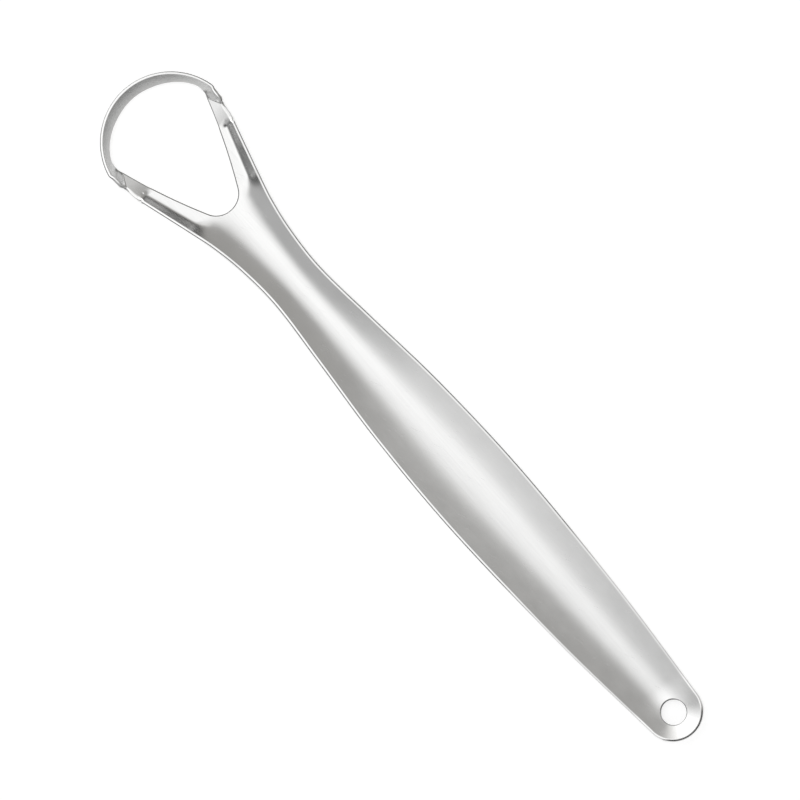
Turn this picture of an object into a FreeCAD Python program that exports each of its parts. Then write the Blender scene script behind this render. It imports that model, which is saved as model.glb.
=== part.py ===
import FreeCAD, Part
import math
import os

# A loop tongue scraper pressed from one piece of stainless sheet, in millimetres.
# +X runs along the length from the scraping loop to the hanging tab, +Z is up and the hollow
# side of the handle faces up. The origin is at the middle of the length, on the table.
# The pressing is divided where its form changes: loop, two arms, yoke, neck, grip and tab.
# The sections meet face to face and belong to one rigid body.

# Sheet and overall size
OVERALL_LENGTH = 145.0
SHEET = 0.9

# Scraping loop: a half ring of sheet that leans outwards and upwards
LOOP_RADIUS = 12.0
BAND_WIDTH = 2.0
BAND_TILT = 46.0
BAND_HALF_SPAN = 77.0

# Flat shoulders: the leaning band turns down over a short twist and then lies flat
TWIST_OUTER_LENGTH = 2.9
TWIST_INNER_LENGTH = 0.79
SHOULDER_INSET = 0.19
SHOULDER_STRIP = 2.35
SHOULDER_LENGTH = 3.3

# Arms: a flat inner strip with an outer flange turned up along a straight crease
FLANGE_RAMP = 1.6
FLANGE_LENGTH = 7.6
FLANGE_TILT = 42.0
FLANGE_FRONT_WIDTH = 1.67
FLANGE_BACK_WIDTH = 2.06

# Rounded rear end of the opening between the arms
OPENING_END_RADIUS = 3.7
OPENING_END_REACH = 2.35
OPENING_END_FLARE = 27.0

# Outer widths of yoke and neck, each at a distance behind the ends of the arms
YOKE_WIDTH = 15.92
YOKE_MIDDLE_SETBACK = 5.3
YOKE_MIDDLE_WIDTH = 13.1
NECK_FRONT_SETBACK = 11.8
NECK_FRONT_WIDTH = 11.1
NECK_SETBACK = 19.8
NECK_WIDTH = 10.34

# Outer widths of the grip, each at its place from 0 at the neck to 1 at the middle of the tab
SWELL_PLACE = 0.125
SWELL_WIDTH = 12.16
GRIP_FRONT_PLACE = 0.293
GRIP_FRONT_WIDTH = 14.78
BELLY_PLACE = 0.502
BELLY_WIDTH = 15.84
TAPER_PLACE = 0.773
TAPER_WIDTH = 13.86
TAB_RADIUS = 5.2

# Hollow of the handle, measured on its upper face
TROUGH_DEPTH = 1.4
TAB_DEPTH = 1.0
TROUGH_FLOOR_SHARE = 0.6

# Turned-up tab with its hanging hole
TAB_TILT = 13.0
TAB_BEND_LENGTH = 7.5
HANG_HOLE_DIAMETER = 4.2

# Lengths into which the pressing is divided behind the arms, and the tab from its rear end
YOKE_LENGTH = 9.8
NECK_LENGTH = 26.0
TAB_LENGTH = 12.5

# Spacing of the sections that shape the arms and the handle
ARM_SECTION_SPACING = 2.0
HANDLE_SECTION_SPACING = 5.0

# Reach of cutting shapes past the sheet, the bend below which a line counts as straight, and the
# rounds in which the width of a rim settles
CUT_REACH = 20.0
STRAIGHT = 1e-6
SETTLING_STEPS = 20


def sine(degrees):
    return math.sin(math.radians(degrees))


def cosine(degrees):
    return math.cos(math.radians(degrees))


def tangent(degrees):
    return math.tan(math.radians(degrees))


def smooth_through(points, x):
    """The height at x of a smooth curve through the points, which run from left to right."""
    last = len(points) - 1
    slopes = []
    for i in range(last + 1):
        before = points[max(i - 1, 0)]
        after = points[min(i + 1, last)]
        slopes.append((after[1] - before[1]) / (after[0] - before[0]))
    i = 0
    while i < last - 1 and x > points[i + 1][0]:
        i += 1
    run = points[i + 1][0] - points[i][0]
    u = (x - points[i][0]) / run
    start = (2 * u**3 - 3 * u**2 + 1) * points[i][1] + (u**3 - 2 * u**2 + u) * run * slopes[i]
    end = (3 * u**2 - 2 * u**3) * points[i + 1][1] + (u**3 - u**2) * run * slopes[i + 1]
    return start + end


def edge_slope(half_chord, depth):
    """The slope in degrees at the rim of a round hollow of this half chord and depth."""
    return math.degrees(2 * math.atan(depth / half_chord))


def upper_half_chord(half_width, depth):
    """Half the upper width of a hollow whose square-cut rim reaches out to half_width below."""
    half_chord = half_width
    for _ in range(SETTLING_STEPS):
        half_chord = half_width - SHEET * sine(edge_slope(half_chord, depth))
    return half_chord


# Loop: its middle, and the outer and inner corners of the band's end
FRONT_X = -OVERALL_LENGTH / 2
LOOP_X = FRONT_X + LOOP_RADIUS
BAND_INNER_RADIUS = LOOP_RADIUS - BAND_WIDTH * cosine(BAND_TILT) - SHEET * sine(BAND_TILT)
BAND_END_X = LOOP_X - LOOP_RADIUS * cosine(BAND_HALF_SPAN)
BAND_END_HALF_WIDTH = LOOP_RADIUS * sine(BAND_HALF_SPAN)
BAND_END_INNER_X = LOOP_X - BAND_INNER_RADIUS * cosine(BAND_HALF_SPAN)

# Shoulder: the upright cut across the flat strip where the loop ends and the arm begins
SHOULDER_HALF_WIDTH = BAND_END_HALF_WIDTH - SHOULDER_INSET
SHOULDER_OUTER = (BAND_END_X + TWIST_OUTER_LENGTH, SHOULDER_HALF_WIDTH)
SHOULDER_INNER = (BAND_END_INNER_X + TWIST_INNER_LENGTH, SHOULDER_HALF_WIDTH - SHOULDER_STRIP)

# Places along the length, each behind the one before
FLANGE_FLAT_X = SHOULDER_OUTER[0] + SHOULDER_LENGTH
FLANGE_FULL_X = FLANGE_FLAT_X + FLANGE_RAMP
ARM_END_X = FLANGE_FULL_X + FLANGE_LENGTH
NECK_X = ARM_END_X + NECK_SETBACK
NECK_START_X = ARM_END_X + YOKE_LENGTH
GRIP_START_X = NECK_START_X + NECK_LENGTH
TAB_START_X = FRONT_X + OVERALL_LENGTH - TAB_LENGTH

# Opening: the middle of its round end, and where its long sides leave that round
OPENING_END_X = ARM_END_X + OPENING_END_REACH - OPENING_END_RADIUS
OPENING_LEAVE = (
    OPENING_END_X + OPENING_END_RADIUS * sine(OPENING_END_FLARE),
    OPENING_END_RADIUS * cosine(OPENING_END_FLARE),
)

# Tab: where its turned-up middle lies, so that its rim ends at the overall length
TAB_CHORD = upper_half_chord(TAB_RADIUS, TAB_DEPTH)
TAB_RIM_SLOPE = edge_slope(TAB_CHORD, TAB_DEPTH)
TAB_LOWER_RIM = SHEET + TAB_DEPTH - SHEET * cosine(TAB_RIM_SLOPE)
TAB_REACH = TAB_RADIUS * cosine(TAB_TILT) - TAB_LOWER_RIM * sine(TAB_TILT)
TAB_X = FRONT_X + OVERALL_LENGTH - TAB_REACH
BEND_RADIUS = TAB_BEND_LENGTH / math.radians(TAB_TILT)
BEND_START_X = TAB_X - BEND_RADIUS * sine(TAB_TILT)


def grip_place(place):
    """The x at a place from 0 at the narrowest point of the neck to 1 at the middle of the tab."""
    return NECK_X + place * (TAB_X - NECK_X)


HANDLE_OUTLINE = [
    (ARM_END_X, YOKE_WIDTH / 2),
    (ARM_END_X + YOKE_MIDDLE_SETBACK, YOKE_MIDDLE_WIDTH / 2),
    (ARM_END_X + NECK_FRONT_SETBACK, NECK_FRONT_WIDTH / 2),
    (NECK_X, NECK_WIDTH / 2),
    (grip_place(SWELL_PLACE), SWELL_WIDTH / 2),
    (grip_place(GRIP_FRONT_PLACE), GRIP_FRONT_WIDTH / 2),
    (grip_place(BELLY_PLACE), BELLY_WIDTH / 2),
    (grip_place(TAPER_PLACE), TAPER_WIDTH / 2),
    (TAB_X, TAB_RADIUS),
]


def opening_side():
    """Middle and radius of the long arc along an arm, tangent to the round end of the opening."""
    along = SHOULDER_INNER[0] - OPENING_LEAVE[0]
    across = SHOULDER_INNER[1] - OPENING_LEAVE[1]
    inward = (-sine(OPENING_END_FLARE), -cosine(OPENING_END_FLARE))
    radius = (along**2 + across**2) / (2 * (along * inward[0] + across * inward[1]))
    middle = (OPENING_LEAVE[0] + radius * inward[0], OPENING_LEAVE[1] + radius * inward[1])
    return middle, radius


def opening_half_width(x):
    """Half the width of the opening between the arms at x, ahead of its round end."""
    middle, radius = opening_side()
    rise = math.sqrt(radius**2 - (x - middle[0])**2)
    return middle[1] + math.copysign(rise, radius)


def arm_outer_half_width(x):
    """Half the outer width across the arms, along a straight line from shoulder to yoke."""
    share = (x - SHOULDER_OUTER[0]) / (ARM_END_X - SHOULDER_OUTER[0])
    return SHOULDER_OUTER[1] + share * (YOKE_WIDTH / 2 - SHOULDER_OUTER[1])


def crease_half_width(x):
    """Half the distance between the two creases at x, along the arms."""
    share = (x - FLANGE_FLAT_X) / (ARM_END_X - FLANGE_FLAT_X)
    flange = FLANGE_FRONT_WIDTH + share * (FLANGE_BACK_WIDTH - FLANGE_FRONT_WIDTH)
    return arm_outer_half_width(x) - flange


def polygon(points):
    return Part.makePolygon(points + points[:1])


def upright_cut(inner, crease, outer):
    """Upright section across a flat strip, with the same corners as a flanged section."""
    upper = [FreeCAD.Vector(x, y, SHEET) for x, y in (inner, crease, outer)]
    lower = [FreeCAD.Vector(x, y, 0) for x, y in (outer, crease, inner)]
    return polygon(upper + lower)


def flanged_section(x):
    """Section across one arm at x: flat strip, crease and raised flange with a square-cut rim."""
    inner = opening_half_width(x)
    crease = crease_half_width(x)
    outer = arm_outer_half_width(x)
    rim = outer - SHEET * sine(FLANGE_TILT)
    rise = (rim - crease) * tangent(FLANGE_TILT)
    mitre = SHEET * tangent(FLANGE_TILT / 2)
    corners = [
        (inner, SHEET),
        (crease, SHEET),
        (rim, SHEET + rise),
        (outer, SHEET + rise - SHEET * cosine(FLANGE_TILT)),
        (crease + mitre, 0),
        (inner, 0),
    ]
    return polygon([FreeCAD.Vector(x, y, z) for y, z in corners])


def right_arm():
    crease = tuple((a + b) / 2 for a, b in zip(SHOULDER_INNER, SHOULDER_OUTER))
    flat_corners = [
        (FLANGE_FLAT_X, opening_half_width(FLANGE_FLAT_X)),
        (FLANGE_FLAT_X, crease_half_width(FLANGE_FLAT_X)),
        (FLANGE_FLAT_X, arm_outer_half_width(FLANGE_FLAT_X)),
    ]
    sections = [upright_cut(SHOULDER_INNER, crease, SHOULDER_OUTER), upright_cut(*flat_corners)]
    count = math.ceil((ARM_END_X - FLANGE_FULL_X) / ARM_SECTION_SPACING)
    step = (ARM_END_X - FLANGE_FULL_X) / count
    sections += [flanged_section(FLANGE_FULL_X + step * i) for i in range(count + 1)]
    return Part.makeLoft(sections, True, True)


def mirrored(shape):
    return shape.mirror(FreeCAD.Vector(0, 0, 0), FreeCAD.Vector(0, 1, 0))


def band_corners():
    """Corners of the leaning band as (radius, height): lower inner, upper inner, rim, outer rim."""
    run = BAND_WIDTH * cosine(BAND_TILT)
    lift = BAND_WIDTH * sine(BAND_TILT)
    return [
        (LOOP_RADIUS - run, 0),
        (BAND_INNER_RADIUS, SHEET * cosine(BAND_TILT)),
        (BAND_INNER_RADIUS + run, SHEET * cosine(BAND_TILT) + lift),
        (LOOP_RADIUS, lift),
    ]


def band_section(angle):
    """Section of the band on the ray at this angle, measured from the front of the loop."""
    points = []
    for radius, height in band_corners():
        points.append(FreeCAD.Vector(LOOP_X - radius * cosine(angle), radius * sine(angle), height))
    return polygon(points)


def shoulder_twist():
    """The short piece that lays the end of the leaning band down onto the flat shoulder."""
    flat = []
    for (x, y), z in zip(
        (SHOULDER_INNER, SHOULDER_INNER, SHOULDER_OUTER, SHOULDER_OUTER),
        (0, SHEET, SHEET, 0),
    ):
        flat.append(FreeCAD.Vector(x, y, z))
    return Part.makeLoft([band_section(BAND_HALF_SPAN), polygon(flat)], True, True)


def scraping_loop():
    start = Part.Face(band_section(BAND_HALF_SPAN))
    axis_point = FreeCAD.Vector(LOOP_X, 0, 0)
    band = start.revolve(axis_point, FreeCAD.Vector(0, 0, 1), 2 * BAND_HALF_SPAN)
    twist = shoulder_twist()
    return band.fuse([twist, mirrored(twist)])


def handle_place(x):
    """Frame of the handle section at x: straight, then bent upwards towards the tab."""
    turn = math.degrees(math.asin(max(x - BEND_START_X, 0) / BEND_RADIUS))
    lift = BEND_RADIUS * (1 - cosine(turn))
    return FreeCAD.Placement(FreeCAD.Vector(x, 0, lift), FreeCAD.Rotation(FreeCAD.Vector(0, 1, 0), -turn))


def arc_or_line(start, middle, end):
    """Edge from start to end through middle, straight where the three are in line."""
    chord = end - start
    if chord.cross(middle - start).Length < STRAIGHT * chord.Length:
        return Part.makeLine(start, end)
    return Part.Arc(start, middle, end).toShape()


def bowed(start, end, start_slope, end_slope):
    """Edge from start to end that turns from one slope to the other, rising outwards."""
    chord = end - start
    sag = chord.Length / 2 * tangent((end_slope - start_slope) / 4)
    across = FreeCAD.Vector(0, chord.z, -chord.y).normalize()
    return arc_or_line(start, (start + end) / 2 + across * sag, end)


def handle_section(x):
    """Closed section of the handle at x. At the arms it is creased, and by the neck it is round."""
    half_width = smooth_through(HANDLE_OUTLINE, x)
    roundness = min((x - ARM_END_X) / (NECK_START_X - ARM_END_X), 1)
    bent = max((x - TAB_START_X) / (TAB_X - TAB_START_X), 0)
    depth = TROUGH_DEPTH + (TAB_DEPTH - TROUGH_DEPTH) * bent
    round_chord = upper_half_chord(half_width, depth)
    round_slope = edge_slope(round_chord, depth)
    rim_slope = FLANGE_TILT + roundness * (round_slope - FLANGE_TILT)
    rim_y = half_width - SHEET * sine(rim_slope)
    round_floor = TROUGH_FLOOR_SHARE * rim_y
    creased_floor = crease_half_width(ARM_END_X)
    crease_y = creased_floor + roundness * (round_floor - creased_floor)
    smooth_slope = math.degrees(math.asin(crease_y / rim_y * sine(round_slope)))
    floor_slope = roundness * smooth_slope
    flange_slope = FLANGE_TILT + roundness * (smooth_slope - FLANGE_TILT)
    mean_slope = (floor_slope + flange_slope) / 2
    mitre = SHEET / cosine((flange_slope - floor_slope) / 2)

    floor = FreeCAD.Vector(0, 0, SHEET)
    crease = FreeCAD.Vector(0, crease_y, SHEET + crease_y * tangent(floor_slope / 2))
    rim_rise = (rim_y - crease_y) * tangent((flange_slope + rim_slope) / 2)
    rim = FreeCAD.Vector(0, rim_y, crease.z + rim_rise)
    below_rim = rim + FreeCAD.Vector(0, sine(rim_slope), -cosine(rim_slope)) * SHEET
    below_crease = crease + FreeCAD.Vector(0, sine(mean_slope), -cosine(mean_slope)) * mitre
    below_floor = FreeCAD.Vector(0, 0, 0)

    def other(point):
        return FreeCAD.Vector(0, -point.y, point.z)

    upper_flange = bowed(crease, rim, flange_slope, rim_slope)
    lower_flange = bowed(below_crease, below_rim, flange_slope, rim_slope)
    mirror_plane = (FreeCAD.Vector(0, 0, 0), FreeCAD.Vector(0, 1, 0))
    edges = [
        arc_or_line(other(crease), floor, crease),
        upper_flange,
        Part.makeLine(rim, below_rim),
        lower_flange,
        arc_or_line(below_crease, below_floor, other(below_crease)),
        lower_flange.mirror(*mirror_plane),
        Part.makeLine(other(below_rim), other(rim)),
        upper_flange.mirror(*mirror_plane),
    ]
    wire = Part.Wire(Part.__sortEdges__(edges))
    wire.Placement = handle_place(x)
    return wire


def handle():
    """The hollow handle from the ends of the arms to the middle of the tab, as one solid."""
    count = round((TAB_X - ARM_END_X) / HANDLE_SECTION_SPACING)
    step = (TAB_X - ARM_END_X) / count
    sections = [handle_section(ARM_END_X + step * i) for i in range(count + 1)]
    return Part.makeLoft(sections, True, False)


def tab_end():
    """The round end of the tab: its section turned half a circle about the hanging hole."""
    rim = FreeCAD.Vector(0, TAB_CHORD, SHEET + TAB_DEPTH)
    below_rim = FreeCAD.Vector(0, TAB_RADIUS, TAB_LOWER_RIM)
    floor = FreeCAD.Vector(0, 0, SHEET)
    below_floor = FreeCAD.Vector(0, 0, 0)
    edges = [
        bowed(floor, rim, 0, TAB_RIM_SLOPE),
        Part.makeLine(rim, below_rim),
        bowed(below_floor, below_rim, 0, TAB_RIM_SLOPE),
        Part.makeLine(below_floor, floor),
    ]
    face = Part.Face(Part.Wire(Part.__sortEdges__(edges)))
    end = face.revolve(FreeCAD.Vector(0, 0, 0), FreeCAD.Vector(0, 0, 1), -180)
    end.Placement = handle_place(TAB_X)
    return end


def hang_hole():
    hole = Part.makeCylinder(
        HANG_HOLE_DIAMETER / 2, 2 * CUT_REACH, FreeCAD.Vector(0, 0, -CUT_REACH)
    )
    hole.Placement = handle_place(TAB_X).multiply(hole.Placement)
    return hole


def opening_prism():
    """Upright block with the outline of the opening, rear of the shoulders."""
    half_x = (SHOULDER_INNER[0] + OPENING_LEAVE[0]) / 2

    def at(x, y):
        return FreeCAD.Vector(x, y, -CUT_REACH)

    leave = at(*OPENING_LEAVE)
    leave_other = at(OPENING_LEAVE[0], -OPENING_LEAVE[1])
    front = at(*SHOULDER_INNER)
    front_other = at(SHOULDER_INNER[0], -SHOULDER_INNER[1])
    side_y = opening_half_width(half_x)
    edges = [
        Part.Arc(front, at(half_x, side_y), leave).toShape(),
        Part.Arc(leave, at(OPENING_END_X + OPENING_END_RADIUS, 0), leave_other).toShape(),
        Part.Arc(leave_other, at(half_x, -side_y), front_other).toShape(),
        Part.makeLine(front_other, front),
    ]
    return Part.Face(Part.Wire(edges)).extrude(FreeCAD.Vector(0, 0, 2 * CUT_REACH))


def between(shape, start_x, end_x):
    """The stretch of a shape between two upright planes across the length."""
    box = Part.makeBox(
        end_x - start_x,
        2 * (LOOP_RADIUS + CUT_REACH),
        2 * CUT_REACH,
        FreeCAD.Vector(start_x, -LOOP_RADIUS - CUT_REACH, -CUT_REACH),
    )
    return shape.common(box)


def write(name, shape):
    solids = shape.removeSplitter().Solids
    if len(solids) != 1 or not solids[0].isValid():
        raise ValueError(f"{name} isn't one valid solid")
    solids[0].exportStep(f"parts/{name}.step")
    box = solids[0].optimalBoundingBox()
    reach = f"x {box.XMin:.2f} to {box.XMax:.2f}, z {box.ZMin:.2f} to {box.ZMax:.2f}"
    print(f"{name}: volume {solids[0].Volume:.2f}, {reach}")


def main():
    os.makedirs("parts", exist_ok=True)
    pressing = handle()
    arm = right_arm()
    beyond = OVERALL_LENGTH
    tab = between(pressing, TAB_START_X, beyond).fuse(tab_end())
    write("scraping_loop", scraping_loop())
    write("right_arm", arm)
    write("left_arm", mirrored(arm))
    write("yoke", between(pressing, -beyond, NECK_START_X).cut(opening_prism()))
    write("neck", between(pressing, NECK_START_X, GRIP_START_X))
    write("grip", between(pressing, GRIP_START_X, TAB_START_X))
    write("hanging_tab", tab.cut(hang_hole()))


main()
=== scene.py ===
import math
from collections import namedtuple

import bmesh
import bpy
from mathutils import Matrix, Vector


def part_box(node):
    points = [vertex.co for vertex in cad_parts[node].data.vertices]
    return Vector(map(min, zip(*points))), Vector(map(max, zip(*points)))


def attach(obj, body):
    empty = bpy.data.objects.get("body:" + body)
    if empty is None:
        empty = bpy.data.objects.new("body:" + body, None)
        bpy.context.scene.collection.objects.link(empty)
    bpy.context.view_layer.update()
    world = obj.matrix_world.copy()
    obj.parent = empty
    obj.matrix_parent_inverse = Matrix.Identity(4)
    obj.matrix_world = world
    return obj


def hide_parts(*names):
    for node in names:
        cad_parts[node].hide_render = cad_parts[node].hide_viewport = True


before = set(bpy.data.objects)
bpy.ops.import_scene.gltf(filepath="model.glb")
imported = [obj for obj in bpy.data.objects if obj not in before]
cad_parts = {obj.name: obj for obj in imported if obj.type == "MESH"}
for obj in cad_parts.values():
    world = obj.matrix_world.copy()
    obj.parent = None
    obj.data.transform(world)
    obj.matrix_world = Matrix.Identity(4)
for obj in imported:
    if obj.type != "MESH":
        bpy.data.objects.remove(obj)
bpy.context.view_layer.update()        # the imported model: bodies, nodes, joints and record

# A tongue scraper pressed from one sheet of satin steel.
# The upper face is laid out as rows of points, thickened to the sheet and given eased edges, and then
# divided into one piece for each CAD node. Sizes are in millimetres and degrees, in the CAD frame.

MM = 0.001

# Places along the length where one node ends and the next begins
ARM_END_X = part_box("yoke")[0].x / MM
NECK_START_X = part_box("neck")[0].x / MM
GRIP_START_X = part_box("grip")[0].x / MM
TAB_START_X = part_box("hanging_tab")[0].x / MM

# Thickness of the sheet
SHEET = 0.9

# Edges of the sheet. Each has narrow facets, as (tilt outwards from level, width), with a round
# before the first, rounds after it down to the side, and another under to the lower face.
# The outer edge changes along the scraper: it falls away more along the noses, to their tips and round
# the end of the tab, and is softer along the shoulders and the taper of the handle.
Edge = namedtuple("Edge", "facets inner_round outer_round lower_round")
OUTER_EDGE = Edge(facets=[(2.0, 0.24), (42.0, 0.13)], inner_round=0.12, outer_round=0.1, lower_round=0.2)
NOSE_EDGE = Edge(facets=[(2.0, 0.18), (42.0, 0.28)], inner_round=0.12, outer_round=0.1, lower_round=0.2)
TIP_EDGE = Edge(facets=[(2.0, 0.18), (36.0, 0.28)], inner_round=0.12, outer_round=0.1, lower_round=0.2)
SHOULDER_EDGE = Edge(facets=[(2.0, 0.2), (10.0, 0.05)], inner_round=1.5, outer_round=0.06, lower_round=0.2)
TAPER_EDGE = Edge(facets=[(2.0, 0.1), (10.0, 0.05)], inner_round=0.6, outer_round=0.06, lower_round=0.2)
TAB_EDGE = Edge(facets=[(2.0, 0.08), (38.5, 0.34)], inner_round=0.08, outer_round=0.06, lower_round=0.2)
OPENING_EDGE = Edge(facets=[(38.0, 0.18)], inner_round=0.05, outer_round=0.12, lower_round=0.15)
HOLE_EDGE = Edge(facets=[(41.0, 0.17)], inner_round=0.05, outer_round=0.1, lower_round=0.12)
HOLE_FRONT_EDGE = Edge(facets=[(38.5, 0.3)], inner_round=0.05, outer_round=0.06, lower_round=0.12)

# The side of an edge is square to the sheet up to the first slope, and upright from the second slope on.
# Beside an upright side the lower face is drawn in. Facets keep a least turn and a least share of width.
SQUARE_SIDE_SLOPE = 25.0
UPRIGHT_SIDE_SLOPE = 40.0
DRAW_IN_REACH = 1.0
LEAST_TURN = 6.0
LEAST_FACET = 0.05

# Steps round each of an edge's rounds, passes that ease its direction round corners, and the share of
# the thickness that goes up with a lifted upper face
EDGE_STEPS = 4
EDGE_SMOOTHING = 6
LIFTED_SHARE = 0.6

# Scraping loop: a half ring of sheet that leans outwards and upwards.
# Towards its ends its inner edge moves outwards to meet the arms.
LOOP_FRONT_X = -72.49
LOOP_RADIUS = 11.985
BAND_WIDTH = 2.06
BAND_TILT = 48.5
BAND_HALF_SPAN = 77.0
BAND_NARROW_START = 15.0

# Twists: past its end the band's wall goes on along the rim and meets the shoulder in a soft fold.
# The blend is a share of the twist's length.
TWIST_OUTER_LENGTH = 3.3
TWIST_INNER_LENGTH = 0.79
TWIST_BLEND = 0.4
TWIST_LATENESS = 5
FOLD_SOFTNESS = 0.15

# Inner corners of the loop, which are filled a little
CORNER_X = -63.7
CORNER_FILL = 0.3
CORNER_FILL_LENGTH = 1.5
CORNER_FILL_ANGLE = 9.0

# Noses: the rim goes on behind the band, steps and tapers inwards, and at its blunt tip rounds and drops.
# The two starts are shares of the twist's length.
NOSE_START = 0.9
NOSE_TILT = 46.6
NOSE_DROP_LENGTH = 1.8
NOSE_DROP = 0.75
NOSE_ROUND_START = 0.76
NOSE_INSET = 0.34
NOSE_STEP = 0.12
NOSE_STEP_LENGTH = 0.7
NOSE_TAPER = 0.04
NOSE_EDGE_LENGTH = 1.2
NOSE_FADE_LENGTH = 1.0

# Shoulders: sheet that leans a little, and more towards the flanges
SHOULDER_INSET = 0.19
SHOULDER_STRIP = 2.17
SHOULDER_BULGE_LENGTH = 2.4
SHOULDER_LEAN = 9.5
SHOULDER_LEAN_GAIN = 1.3
SHOULDER_SQUARE_LEAD = 0.6

# Arms: a flat inner strip with an outer flange turned up along a straight crease
FLANGE_RAMP = 1.6
FLANGE_START_X = -57.7
FLANGE_START_LENGTH = 1.3
FLANGE_SLANT = 0.3
FLANGE_LENGTH = 7.6
FLANGE_TILT = 42.0
FLANGE_FRONT_WIDTH = 1.53
FLANGE_BACK_WIDTH = 1.93
CREASE_ROUND = 0.15

# Marks that the press left where each crease begins: a small pit darkened with painted shade, and a small
# bump
Mark = namedtuple("Mark", "x y lift shade")
MARKS = [
    Mark(x=-56.66, y=8.75, lift=-0.1, shade=0.85),
    Mark(x=-57.15, y=-9.02, lift=0.12, shade=0.0),
]
MARK_RADIUS = 0.33

# Rounded rear end of the opening between the arms
OPENING_END_RADIUS = 3.7
OPENING_END_REACH = 2.35
OPENING_END_FLARE = 27.0

# Outer widths of yoke and neck, each at a distance behind the ends of the arms
YOKE_WIDTH = 15.92
YOKE_MIDDLE_SETBACK = 5.3
YOKE_MIDDLE_WIDTH = 13.1
NECK_FRONT_SETBACK = 11.8
NECK_FRONT_WIDTH = 11.1
NECK_SETBACK = 19.8
NECK_WIDTH = 10.34

# Outer widths of the grip, each at its place from 0 at the neck to 1 at the middle of the tab
SWELL_PLACE = 0.125
SWELL_WIDTH = 12.16
GRIP_FRONT_PLACE = 0.293
GRIP_FRONT_WIDTH = 14.78
BELLY_PLACE = 0.502
BELLY_WIDTH = 15.84
TAPER_PLACE = 0.773
TAPER_WIDTH = 13.86
TAB_RADIUS = 5.2

# Hollow behind the creases of the arms, which part and soften along the handle. Each line gives the
# distance behind the ends of the arms, half the distance between the creases, their softness, and
# the slope of the flanks in degrees.
HOLLOW = [
    (0.8, 5.66, 0.5, 41.5),
    (1.6, 5.3, 1.05, 40.5),
    (2.4, 4.94, 1.65, 39.5),
    (3.3, 4.6, 2.15, 38.5),
    (4.9, 4.1, 2.45, 37.0),
    (8.2, 3.25, 2.05, 34.0),
    (19.8, 1.95, 1.45, 25.5),
    (35.8, 1.95, 1.65, 17.5),
    (45.3, 2.0, 1.85, 14.3),
    (62.2, 2.55, 2.15, 14.0),
    (78.8, 2.15, 1.9, 14.2),
    (95.8, 1.65, 1.6, 14.7),
    (109.4, 1.3, 1.5, 15.3),
    (115.5, 1.5, 1.8, 17.0),
]

# Turned-up tab: the middle of its hanging hole on the lower face, and its turn
TAB_X = 67.7
TAB_TILT = 13.0
TAB_BEND_LENGTH = 5.0
TAB_END_TRIM = 0.15

# Hanging hole, with the stretch along which its front edge changes, and the painted shade on its punched
# wall. The wall starts below a round, a facet and a second round.
HANG_HOLE_RADIUS = 2.1
HOLE_FRONT_LENGTH = 1.2
HOLE_WALL_START = 2 * EDGE_STEPS + 1
HOLE_WALL_PAINTED_SHADE = 0.6

# Stretches where the outer edge softens along the taper, and turns crisp again round the tab's end
SOFTENING_X = 30.0
SOFTENING_LENGTH = 13.0
TAB_EDGE_SETBACK = 1.2
TAB_EDGE_BLEND = 1.4

# Numbers of steps along and across the rows of points, and how closely these gather at a crease
CREASE_GATHER = 1.7
STRIP_STEPS = 16
LOOP_STEPS = 44
TWIST_STEPS = 40
SHOULDER_STEPS = 14
FLANGE_START_STEPS = 26
FLANGE_STEPS = 26
YOKE_RIM_STEPS = 30
HALF_HANDLE_STEPS = 20
NECK_STEPS = 34
GRIP_STEPS = 92
TAB_RIM_STEPS = 20
TAB_END_STEPS = 26
TAB_STEPS = 14

# Least lift that counts, halvings to find a crossing, and decimals to which points have to agree
LEAST_LIFT = 1e-6
SETTLING_STEPS = 44
WELD_DIGITS = 5

# Satin steel, with noise of so many grains per metre along x, y and z, turned about z
Noise = namedtuple("Noise", "grains turn detail")
GRAIN = Noise(grains=(160, 7000, 7000), turn=0, detail=2)
CLOUDS = Noise(grains=(260, 420, 420), turn=0, detail=3)
HAIRLINES = Noise(grains=(220, 5200, 5200), turn=24, detail=1)
NOISE_RANGE = (0.3, 0.7)
HAIRLINE_RANGE = (0.69, 0.76)
STEEL_DARK = (0.742, 0.742, 0.738, 1)
STEEL_PALE = (0.782, 0.782, 0.778, 1)
# Painted shade: the grey put into the colour in the pit of a mark and on the hole's wall, the range of
# painted shade over which it comes in, and its most
PAINTED_SHADE_GREY = (0.09, 0.09, 0.09, 1)
PAINTED_SHADE_RANGE = (0, 0.5)
PAINTED_SHADE_MOST = 0.85
ROUGHNESS = 0.22
ROUGHNESS_GRAIN = 0.03
ROUGHNESS_CLOUDS = 0.02
HAIRLINE_ROUGHNESS = 0.06
EDGE_POLISH = 0.05
BUMP_STRENGTH = 0.06
BUMP_DEPTH = 0.004

# Camera: straight above, turned so that the handle runs from upper left to lower right
HANDLE_TURN = 48.58
VIEW_MIDDLE = Vector((-2.487, 0.221, 1.5))
VIEW_WIDTH = 134.82
CAMERA_DISTANCE = 600.0
VIEW_DEPTH = 10000.0
SENSOR_WIDTH = 36.0

# Studio: a bright patch nearly overhead and one at the head, mid-grey walls, a dark belt, white floor
FLOOR_HALF_SIZE = 2000.0
FLOOR_DROP = 0.02
FLOOR_GREY = 0.5
FLOOR_GLOW = 0.72
PATCH_DIRECTION = Vector((-0.12, -0.097, 1.0)).normalized()
PATCH_ANGLE = 34.0
PATCH_STRENGTH = 0.94
HEAD_DIRECTION = Vector((-0.75, 0, 0.66)).normalized()
HEAD_ANGLE = 31.0
HEAD_STRENGTH = 1.25
WHITE = (1, 1, 1, 1)
WARM_SIDE = (1.0, 0.983, 0.952, 1)
WARM_RANGE = (0.1, 0.6)
WALL_LEVEL = 0.47
WALL_SIDE = 0.07
BELT_TOP = 66.0
BELT_BOTTOM = 86.0


def sine(degrees):
    return math.sin(math.radians(degrees))


def cosine(degrees):
    return math.cos(math.radians(degrees))


def tangent(degrees):
    return math.tan(math.radians(degrees))


def between(start, end, share):
    return start + (end - start) * share


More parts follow.
